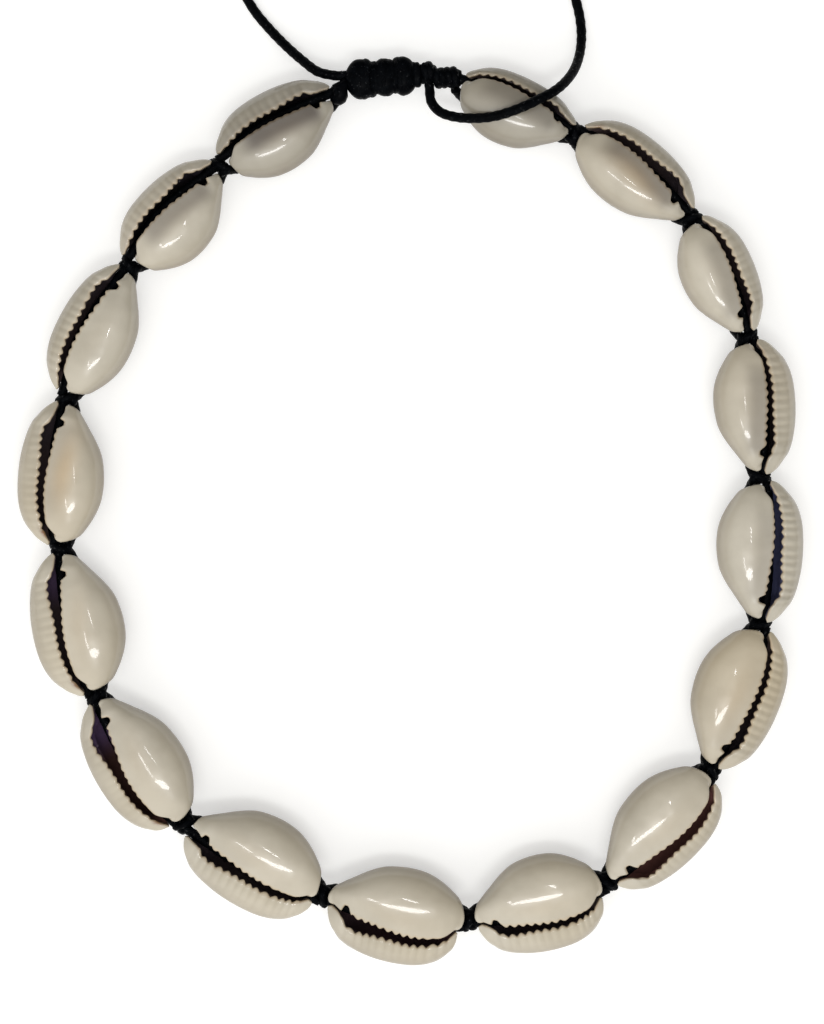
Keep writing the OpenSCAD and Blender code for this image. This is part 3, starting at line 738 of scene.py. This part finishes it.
# %% Where each tint lies on a shell
def tint_values(i, values):
    """The tints of shell i at its points, from their place on the shell."""
    tone, warmth, shade, ochre, brown = SHELL_TINTS[i]
    u, d, outside = values["place"], values["near"], 1 - values["inside"]
    on_lip, on_dome = values["side"] > 0, values["side"] < 0
    valleys = (1 - np.abs(np.cos(np.pi * values["along"] / TOOTH_PITCH))) ** 1.5
    on_ridges = np.clip(1 - d / RIDGE_FADE, 0, 1) * window(u, 0.04, 0.12, 0.86, 0.92)
    worn_lip = 0.75 * outside * on_lip * (1 - smoothstep(d, 0.6, 2.6))
    return {
        "tone": np.full(len(u), tone),
        "warmth": warmth * (0.5 + 0.5 * smoothstep(u, 0.9, 0.2)),
        # Painted shade beside the slit over the shell's own grey: darker where the dome sinks into the
        # slit, and a little on the lip's edge
        "shade": shade * outside * np.where(
            on_dome, (1 - smoothstep(d, 1.5, 4.2)) * window(u, 0.12, 0.3, 0.8, 0.9), 0.35 * bell(d, 1.2)),
        "ochre": ochre * outside * on_dome * bell(d, 1.8, 2.8) * bell(u, 0.25, 0.52),
        "brown": brown * on_lip * bell(u, 0.03, 0.085) * bell(d, 0.5),
        # Painted shade: darker in the valleys between the outer lip's ridges
        "painted_groove_shade": outside * on_lip * on_ridges * valleys * min(1, 0.8 * RIDGES[i]),
        "dull": np.where(on_lip, window(u, 0.12, 0.28, 0.72, 0.86), 1)
        * np.maximum(0.85 * values["flank"], worn_lip),
    }


# %% Raise the teeth and colour every shell
for i, cowrie in enumerate(cowries):
    mesh = cowrie.data = baked(cowrie, teeth_tree, {"Tooth pitch": TOOTH_PITCH, "Material": shell_enamel})
    values = {}
    for key in ("inside", "near", "side", "place", "along", "flank"):
        values[key] = np.zeros(len(mesh.vertices), np.float32)
        mesh.attributes[key].data.foreach_get("value", values[key])
    for key, stored in tint_values(i, values).items():
        keep(mesh, key, stored)
    broad_end, narrow_end = (np.array(linear(colour)) for colour in INSIDES.get(i, INSIDE))
    share = smoothstep(values["place"], 0.6, 0.8)[:, None]
    keep(mesh, "inner_colour", broad_end + share * (narrow_end - broad_end), "FLOAT_COLOR", "color")
    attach(cowrie, "root")
    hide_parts(f"shell_{i + 1:02d}")
print("shells:", len(cowries), "pieces,", sum(len(c.data.polygons) for c in cowries), "faces")

# %% [markdown]
# ## Braided cord
#
# The cord is a waxed polyester braid of eight thin yarns round a core. Each yarn
# shows as a row of small bumps, and the rows cross. Eight separate yarns would
# look the same and cost many times the faces, so one tube is bent along the
# path and its surface is raised and lowered in the pattern of the braid.

# %% The tree that braids a cord along a path
BRAID_PITCH, BUMPS_ROUND = 1.5, 4.0
braid_tree, given = new_tree("braided_cord", {
    "Radius": 0.8 * MM, "Braid height": 0.07 * MM, "Braid pitch": BRAID_PITCH * MM,
    "Step": 0.25 * MM, "Sides": 16, "Material": None})
tree = braid_tree
even_path = add(tree, "GeometryNodeResampleCurve",
                {"Curve": given["Geometry"], "Length": given["Step"]}, mode="LENGTH")
spline_length = add(tree, "GeometryNodeSplineParameter").outputs["Length"]
kept_length = add(tree, "GeometryNodeStoreNamedAttribute", {
    "Geometry": even_path, "Value": spline_length, "Name": "along"}, data_type="FLOAT", domain="POINT")
ring = add(tree, "GeometryNodeCurvePrimitiveCircle", {
    "Resolution": given["Sides"], "Radius": given["Radius"]}, mode="RADIUS")
corner = add(tree, "DIVIDE", add(tree, "GeometryNodeInputIndex"), given["Sides"])
corner = add(tree, "MULTIPLY", corner, 2 * math.pi)
around = add(tree, "ShaderNodeCombineXYZ", add(tree, "COSINE", corner), add(tree, "SINE", corner))
kept_angle = add(tree, "GeometryNodeStoreNamedAttribute", {
    "Geometry": ring, "Value": around, "Name": "around"}, data_type="FLOAT_VECTOR", domain="POINT")
tube = add(tree, "GeometryNodeCurveToMesh", {
    "Curve": kept_length, "Profile Curve": kept_angle, "Fill Caps": True})

# %% The bumps of the braid
place = add(tree, READ, "along", data_type="FLOAT")
around = add(tree, READ, "around", data_type="FLOAT_VECTOR")
xyz = add(tree, "ShaderNodeSeparateXYZ", around).outputs
angle = add(tree, "ARCTAN2", xyz["Y"], xyz["X"])
turns = add(tree, "DIVIDE", place, given["Braid pitch"])
along_wave = add(tree, "COSINE", add(tree, "MULTIPLY", turns, 2 * math.pi))
round_wave = add(tree, "COSINE", add(tree, "MULTIPLY", angle, BUMPS_ROUND))
bumps = add(tree, "MULTIPLY", add(tree, "MULTIPLY", along_wave, round_wave), given["Braid height"])
end_tree(tree, given, tube, add(tree, "GeometryNodeInputNormal"), bumps)

# %% [markdown]
# ## Waxed braid
#
# Each yarn is a bundle of fine polyester filaments, smoothed down by black wax.
# The wax is nearly matt here, with small flecks where it lies thicker and
# shines more; the lighter grey that these flecks add to the colour is a
# painted glint. The filaments cross in two directions, and they are drawn
# much coarser than real ones, which are too fine to show.

# %% The cord's material
FILAMENTS_ROUND, FILAMENTS_PER_PITCH = 12.0, 3
cord_wax, tree, shader, read = new_material(
    "waxed_polyester_braid", ("along",),
    {"dust": (1.0, 3, 0.4, 0.7), "fleck": (0.45, 2, 0.62, 0.78)}, Roughness=0.32, IOR=1.5)
around = add(tree, "ShaderNodeAttribute", attribute_name="around").outputs["Vector"]
xyz = add(tree, "ShaderNodeSeparateXYZ", around).outputs
angle = add(tree, "ARCTAN2", xyz["Y"], xyz["X"])
climb = 2 * math.pi * FILAMENTS_PER_PITCH / (BRAID_PITCH * MM)
lines = []
for hand in (1, -1):
    slope = add(tree, "MULTIPLY", read["along"], hand * climb)
    line = add(tree, "MULTIPLY", angle, FILAMENTS_ROUND)
    lines.append(add(tree, "SINE", add(tree, "ADD", line, slope)))
fibre = add(tree, "MAXIMUM", *lines)
black = add(tree, MIX, {0: read["dust"], 6: linear("#030406"), 7: linear("#07090C")}, data_type="RGBA")
# The flecks' lighter grey in the base colour is a painted glint; their higher specular below is real shine
factor = add(tree, "MULTIPLY", read["fleck"], 0.3)
black = add(tree, MIX, {0: factor, 6: black.outputs[2], 7: linear("#1C1F26")}, data_type="RGBA")
tree.links.new(black.outputs[2], shader["Base Color"])
shine = add(tree, "MULTIPLY", read["fleck"], 0.34)
tree.links.new(add(tree, "ADD", shine, 0.02).outputs[0], shader["Specular IOR Level"])
threads = add(tree, "ShaderNodeBump", {"Height": fibre, "Strength": 0.5, "Distance": 0.04 * MM})
tree.links.new(threads.outputs[0], shader["Normal"])


# %% A helper that lays cords along paths
def smooth_path(points, step=0.4):
    """A smooth line through points, with a point about every step millimetres."""
    p = np.asarray(points, float)
    ends = np.concatenate([[2 * p[0] - p[1]], p, [2 * p[-1] - p[-2]]])
    made = []
    for k in range(len(p) - 1):
        a, b, c, d = ends[k:k + 4]
        n = max(2, int(np.linalg.norm(c - b) / step))
        for w in np.arange(n) / n:
            made.append(0.5 * (2 * b + (c - a) * w + (2 * a - 5 * b + 4 * c - d) * w ** 2
                               + (3 * b - a - 3 * c + d) * w ** 3))
    made.append(p[-1])
    return np.array(made)


def laid_cord(name, paths, diameter=CORD_D, braid=0.035, step=0.25, sides=16, cores=()):
    """One piece of cord along several paths, given in millimetres, over its cores."""
    curve = bpy.data.curves.new(name + "_line", "CURVE")
    curve.dimensions = "3D"
    curve.twist_mode = "MINIMUM"
    for path in paths:
        spline = curve.splines.new("POLY")
        spline.points.add(len(path) - 1)
        flat = np.concatenate([np.asarray(path) * MM, np.ones((len(path), 1))], axis=1)
        spline.points.foreach_set("co", flat.astype(np.float32).ravel())
    line = linked(name + "_line", curve)
    mesh = baked(line, braid_tree, {
        "Radius": (diameter / 2 - braid * 0.5) * MM, "Braid height": braid * MM, "Step": step * MM,
        "Sides": sides, "Material": cord_wax})
    bpy.data.objects.remove(line)
    joined(mesh)
    if cores:
        joined(mesh, cores)
    piece = linked(name, mesh)
    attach(piece, "root")
    print(name, len(mesh.polygons), "faces")
    return piece


# %% [markdown]
# ## The string
#
# The front strand dips into each shell by the canal at its broad tip and comes
# out at the narrow one. The back strand is drawn tight under the dome's flank,
# just above the table.

# %% Paths of the front and the back strand
# How far the front strand hides beside the slit, under the dome: the most, and
# each shell's share of it, with 0 for a strand that shows whole
UNDER_THE_DOME = 0.62
SEEN_LESS = [0.9, 0.6, 0.6, 0.5, 1, 0.9, 1, 0.7, 1, 0.9, 1, 0.9, 0.8, 0.4, 0, 0]
# Place along the shell, distance from it, angle on its section, and how far
# the taut strand is pulled further under the flank, in mm
CORD_BEHIND = [
    (0.05, 1.7, 240, 1.2), (0.12, 1.35, 246, 1.0), (0.2, 1.25, 240, 0.7), (0.3, 1.15, 230, 0.5),
    (0.5, 1.15, 228, 0.4), (0.64, 1.2, 229, 0.78), (0.74, 1.3, 234, 1.05), (0.82, 1.4, 242, 0.9),
    (0.9, 1.5, 246, 0.9), (0.96, 1.7, 240, 0.9),
]
BEHIND_ROOM, BEHIND_START_Y, TABLE_ROOM = 0.2, -0.4, 0.12
# The front strand enters a knot this much above its middle
FRONT_OVER_KNOT = 1.0


def front_path(i):
    """The strand through shell i, from the middle of one knot to the next."""
    rows = []
    for v, share in CORD_IN_SHELL:
        share *= 1 - UNDER_THE_DOME * SEEN_LESS[i] * math.sin(math.pi * v) ** 2
        straight = between_canals(v)
        y = straight + share * (float(slit_line(i, np.array([v]))[0][0]) - straight)
        rows.append([(v - 0.5) * (shell_len(i) + SHELL_GAP), y, CANAL_Z])
    rows[0][2] = rows[-1][2] = KNOT_Z + FRONT_OVER_KNOT
    return at_shell(i, smooth_path(rows))


def back_path(i):
    """The strand under the flank of shell i, from one knot to the next."""
    pitch = shell_len(i) + SHELL_GAP
    rows = [[-0.5 * pitch, BEHIND_START_Y, KNOT_Z]]
    for u, far, degrees, pull in CORD_BEHIND:
        angle = math.radians(degrees)
        y, z = outer_form(i, np.array([[u]]), np.array([[angle]]))
        off = far * (CORD_D / 2 + BEHIND_ROOM)
        rows.append([(u - 0.5) * shell_len(i), float(y[0, 0]) + off * math.cos(angle) + pull,
                     max(float(z[0, 0]) + off * math.sin(angle), CORD_D / 2 + TABLE_ROOM)])
    rows.append([0.5 * pitch, BEHIND_START_Y, KNOT_Z])
    return at_shell(i, smooth_path(rows))


string = laid_cord("string", [way(i) for way in (front_path, back_path) for i in range(COUNT)],
                   step=0.3, sides=12)
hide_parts("cord")

# %% [markdown]
# ## Knots between the shells
#
# Front and back strand are tied together between two shells in a small tight
# knot that lies across the string. What shows are a few turns side by side and
# one strand that crosses them.

# %% Knots between the shells
KNOT_STRAND, KNOT_TURNS, KNOT_SEED = 1.25, 2.6, 40


def at_knot(i, points):
    """Points of knot i's own frame, moved to the ring."""
    ways = [shell_axes(j)[1] for j in (i - 1, i) if 0 <= j < COUNT]
    along = sum(ways) / np.linalg.norm(sum(ways))
    return placed(points, KNOTS[i], along, KNOT_Z)


def knot_paths(i, knot_long=KNOT_LENGTH):
    """The turns of knot i, and the strand that crosses them."""
    rng = np.random.default_rng(KNOT_SEED + i)
    lean = rng.uniform(-0.25, 0.25)
    t = np.linspace(0, 1, 70)
    a = 2 * np.pi * KNOT_TURNS * t + rng.uniform(0, 1)
    y = KNOT_OUT_Y + (t - 0.5) * (knot_long - KNOT_STRAND + 0.3)
    wound = np.stack([0.62 * np.cos(a) + lean * (t - 0.5), y, 0.35 + 1.05 * np.sin(a)], axis=1)
    s = np.linspace(-1, 1, 24)
    hand = 1 if i % 2 else -1
    over = np.stack([0.75 * s * hand, KNOT_OUT_Y - (knot_long / 2 - 0.5) * s,
                     0.9 + 1.15 * np.cos(s * 1.5)], axis=1)
    return [at_knot(i, wound), at_knot(i, over)]


laid_cord("knots_between_shells", [p for i in range(1, COUNT) for p in knot_paths(i)],
          diameter=KNOT_STRAND, step=0.22, sides=12)

# %% [markdown]
# ## The clasp
#
# The two ends of the string pass each other inside a sliding knot: a row of
# four macrame lobes tied round both cords. Pulling the free ends draws the ring
# in. At its right a small end knot keeps the string's end. The lobes are one
# strand wound side by side over a lobed core, which closes the small gaps
# between the turns.

# %% Places along the clasp
SLIDE_FROM = -clasp_half + KNOT_D / 2 + 0.4
SLIDE_TO = SLIDE_FROM + SLIDE_LENGTH
RUN_SPACING = CORD_D + 0.1
RUN_OUTER_Y, RUN_INNER_Y = SLIDE_OFFSET + RUN_SPACING / 2, SLIDE_OFFSET - RUN_SPACING / 2
ELBOW_X = SLIDE_TO + CORD_D / 2 + 0.15
ELBOW_Y = RUN_INNER_Y - CORD_D / 2
END_KNOT_Y = CANAL_BROAD_Y + 0.2
END_KNOT_TO = clasp_half - KNOT_D / 2 + 0.2
END_KNOT_FROM = END_KNOT_TO - END_KNOT_LENGTH

# %% The form of the sliding knot
# Lobes of the sliding knot: middle as a share of its length, half a lobe's
# length in the same shares, and its size
LOBES = [(0.19, 0.22, 1.03), (0.51, 0.15, 0.97), (0.75, 0.14, 1.0), (0.94, 0.1, 0.66)]
SLIDE_STRAND, SLIDE_TURNS, SLIDE_WIDER = 1.45, 8.5, 1.04
# Power of the sine that makes a wound section a little squarer than round
SQUARER = 0.85
UNDER_TURNS = 0.05


def lobed(share):
    """Size of the sliding knot at a share of its length."""
    share = np.asarray(share, float)
    body = np.max([size * np.sqrt(np.clip(1 - 0.55 * ((share - middle) / half) ** 2, 0.3, 1))
                   for middle, half, size in LOBES], axis=0)
    ends = 1 - np.clip(np.minimum(share / 0.17, (1 - share) / 0.05), 0, 1)
    return body * np.sqrt(1 - 0.75 * ends ** 2)


def slide_half(share, under):
    """Half width and height of the sliding knot, that much under its surface."""
    size = lobed(share)
    return SLIDE_WIDTH / 2 * size * SLIDE_WIDER - under, SLIDE_HEIGHT / 2 * size - under


def slide_path():
    """Turns of cord wound side by side round the clasp's cords."""
    t = np.linspace(0, 1, 520)
    a = 2 * np.pi * SLIDE_TURNS * t
    half_y, half_z = slide_half(t, SLIDE_STRAND / 2 - UNDER_TURNS)
    sway = 0.2 * np.sin(2 * a + 0.6 * np.sin(5 * t))
    x = SLIDE_FROM + SLIDE_STRAND / 2 + t * (SLIDE_LENGTH - SLIDE_STRAND) + sway
    y = SLIDE_OFFSET + half_y * power(np.cos(a), SQUARER)
    z = CLASP_Z + half_z * power(np.sin(a), SQUARER)
    return at_clasp(np.stack([x, y, z], axis=1))


def core(rows, sides=24):
    """A closed body along the clasp, from rows of x, y, half width and half height."""
    a = np.linspace(0, 2 * np.pi, sides, endpoint=False)
    rings = [np.stack([np.full(sides, x), y + wide * power(np.cos(a), SQUARER),
                       CLASP_Z + tall * power(np.sin(a), SQUARER)], axis=1) for x, y, wide, tall in rows]
    points = at_clasp(np.concatenate(rings)) * MM
    index = np.arange(len(points)).reshape(len(rows), sides)
    caps = [index[0].tolist(), index[-1][::-1].tolist()]
    mesh = bpy.data.meshes.new("core")
    mesh.from_pydata(points.tolist(), [], faces_between(index) + caps)
    return mesh


# %% The sliding knot
slide_core = [(SLIDE_FROM + UNDER_TURNS + w * (SLIDE_LENGTH - 2 * UNDER_TURNS), SLIDE_OFFSET,
               *slide_half(w, UNDER_TURNS)) for w in np.linspace(0, 1, 90)]
sliding_knot = laid_cord("sliding_knot_turns", [slide_path()], diameter=SLIDE_STRAND, step=0.22,
                         sides=14, cores=[core(slide_core, 36)])
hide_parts("sliding_knot")


# %% The cords of the clasp and the end knots
def on_clasp(*places):
    """Points at the clasp's height, from places x and y in its own frame."""
    return [at_clasp([x, y, CLASP_Z]) for x, y in places]


def ring_of_cord(x_from, x_to, y, turns, radius=1.0):
    """Turns of cord round the clasp's own X direction."""
    t = np.linspace(0, 1, int(40 * turns))
    a = 2 * np.pi * turns * t + 0.6
    return at_clasp(np.stack([x_from + t * (x_to - x_from), y + radius * np.cos(a),
                              CLASP_Z + radius * np.sin(a)], axis=1))


left_end = np.array([*KNOTS[COUNT], KNOT_Z])
right_end = np.array([*KNOTS[0], KNOT_Z + FRONT_OVER_KNOT])
clasp_lines = [
    smooth_path([*on_clasp((SLIDE_FROM - 0.3, RUN_OUTER_Y), (0, RUN_OUTER_Y), (SLIDE_TO + 0.3, RUN_OUTER_Y),
                           (END_KNOT_FROM + 0.8, END_KNOT_Y)), right_end]),
    smooth_path([left_end, *on_clasp((SLIDE_FROM - 0.3, RUN_INNER_Y), (0, RUN_INNER_Y),
                                     (ELBOW_X - 0.6, RUN_INNER_Y), (ELBOW_X, ELBOW_Y))]),
    ring_of_cord(END_KNOT_FROM + 0.1, END_KNOT_TO + 1.2, END_KNOT_Y, 3.5),
    ring_of_cord(SLIDE_TO + 0.4, END_KNOT_FROM - 0.3, RUN_OUTER_Y - 0.5, 1.8),
]
clasp_core = [
    (SLIDE_TO + 0.3, RUN_OUTER_Y - 0.5, 1.2, 1.2), (END_KNOT_FROM - 0.4, RUN_OUTER_Y - 0.6, 1.45, 1.4),
    (END_KNOT_FROM + 0.3, END_KNOT_Y, 1.6, 1.5), (END_KNOT_TO - 0.4, END_KNOT_Y, 1.55, 1.5),
    (END_KNOT_TO + 1.2, END_KNOT_Y - 0.1, 1.45, 1.3), (END_KNOT_TO + 2.0, END_KNOT_Y - 0.2, 1.1, 1.0),
]
end_core = [
    (-clasp_half - 1.2, 0.1, 0.9, 0.9), (-clasp_half - 0.6, 0.2, 1.6, 1.5),
    (-clasp_half + 0.4, 0.3, 1.9, 1.7), (-clasp_half + 1.2, 0.7, 1.9, 1.7),
    (SLIDE_FROM + 0.2, 1.2, 1.5, 1.4),
]
laid_cord("clasp_cords", clasp_lines, diameter=1.5, cores=[core(clasp_core)])
laid_cord("end_knots", knot_paths(COUNT, knot_long=2.4), diameter=KNOT_STRAND, step=0.22,
          sides=12, cores=[core(end_core)])

# %% [markdown]
# ## The free ends
#
# Each free end is a limp cord that falls to the table and ends in a knot. The
# right one first lies across the shell beside the clasp.

# %% Free ends with their stopper knots
STOPPER_STRAND, STOPPER_TURNS = 1.3, 2.1
TAIL_LEFT = [
    (-14.6, 70.5, 5.4), (-17.2, 72.6, 3.8), (-19.9, 75.2, 2.2), (-22.6, 78.1, 1.2),
    (-25, 81, 0.9), (-26.8, 84, 0.9), (-28.3, 87.2, 0.9), (-29.2, 90.4, 0.9),
]
TAIL_RIGHT = [
    (3.6, 65.4, 6.9), (5, 63.6, 8.2), (7.4, 62.6, 9.6), (10.4, 62.2, 10.8),
    (13.6, 62.4, 11.7), (17, 63.4, 12.1), (20.4, 65, 11.6), (23.6, 67, 9.9),
    (26, 69.8, 6.8), (27.4, 73, 3.6), (28, 76.6, 1.5), (27.8, 80, 0.9),
    (27, 83.4, 0.9), (25.9, 86.6, 0.9), (24.3, 89.6, 0.9),
]
TAILS = {
    "left": on_clasp((SLIDE_FROM - 0.3, RUN_OUTER_Y), (SLIDE_FROM - 1.3, RUN_OUTER_Y)) + TAIL_LEFT,
    "right": on_clasp((ELBOW_X, ELBOW_Y), (ELBOW_X, ELBOW_Y - 1)) + TAIL_RIGHT,
}


def stopper_path(path):
    """A small overhand knot: turns round the cord's end."""
    end, way = path[-1], path[-1] - path[-4]
    way[2] = 0
    way = way / np.linalg.norm(way)
    side, up = np.array([-way[1], way[0], 0]), np.array([0, 0, 1])
    t = np.linspace(0, 1, 90)[:, None]
    a = 2 * np.pi * STOPPER_TURNS * t
    centre = end + way * (-0.1 + 1.6 * t)
    centre[:, 2] = STOPPER_D / 2 + 0.05
    return centre + (STOPPER_D - STOPPER_STRAND) / 2 * (np.cos(a) * side + np.sin(a) * up)


for hand, points in TAILS.items():
    path = smooth_path(points)
    tail = laid_cord("free_end_" + hand, [path])
    stopper = laid_cord("stopper_knot_" + hand, [stopper_path(path)], diameter=STOPPER_STRAND,
                        step=0.2, sides=12)
    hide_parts("tail_" + hand)

# %% [markdown]
# ## Floor and light
#
# The table is a plain matt white card without shine, and it gives a little
# light of its own, so that the shadows stay soft. The light is that of a small
# studio: a sky that is brightest above the near side of the table, and three
# oval soft boxes, which give the shells their long streaks of light.

# %% Floor
table_mesh = bpy.data.meshes.new("table")
table_mesh.from_pydata([(-3, -3, 0), (3, -3, 0), (3, 3, 0), (-3, 3, 0)], [], [(0, 1, 2, 3)])
table_mesh.materials.append(new_material(
    "matt_white_card", Roughness=0.9, Base_Color=linear("#DCDCDA"), Emission_Color=(1, 1, 1, 1),
    Emission_Strength=0.43)[0])
floor = linked("table", table_mesh)

# %% Sky
SKY_BRIGHTEST = (-0.2, -0.6, 0.775)
SKY_RISE, SKY_LOW = 1.3, 0.05
world = bpy.data.worlds.new("soft_sky")
world.use_nodes = True
tree = world.node_tree
sky = tree.nodes["Background"].inputs
sky["Color"].default_value = (1.0, 0.99, 0.975, 1)
towards = add(tree, VECTOR_MATH, add(tree, "ShaderNodeTexCoord").outputs["Generated"], SKY_BRIGHTEST,
              operation="DOT_PRODUCT")
bright = add(tree, "MULTIPLY", add(tree, "MAXIMUM", towards.outputs["Value"], 0.0), SKY_RISE)
tree.links.new(add(tree, "ADD", bright, SKY_LOW).outputs[0], sky["Strength"])
bpy.context.scene.world = world
bpy.context.scene.view_settings.view_transform = "Standard"

# %% Soft boxes, all turned to the middle of the ring
# Name, place, length and width in metres, and watts
SOFT_BOXES = [
    ("long_softbox", (0.02, -0.18, 0.62), (0.28, 0.09), 0.85),
    ("small_softbox", (-0.16, -0.12, 0.66), (0.11, 0.045), 0.14),
    ("strip_light", (0.05, 0.03, 0.62), (0.08, 0.016), 0.08),
]
for name, place, size, watts in SOFT_BOXES:
    light = bpy.data.lights.new(name, "AREA")
    light.shape = "ELLIPSE"
    light.size, light.size_y = size
    light.energy = watts
    soft_box = linked(name, light)
    soft_box.location = place
    soft_box.rotation_mode = "QUATERNION"
    soft_box.rotation_quaternion = Vector(place).to_track_quat("Z", "Y")
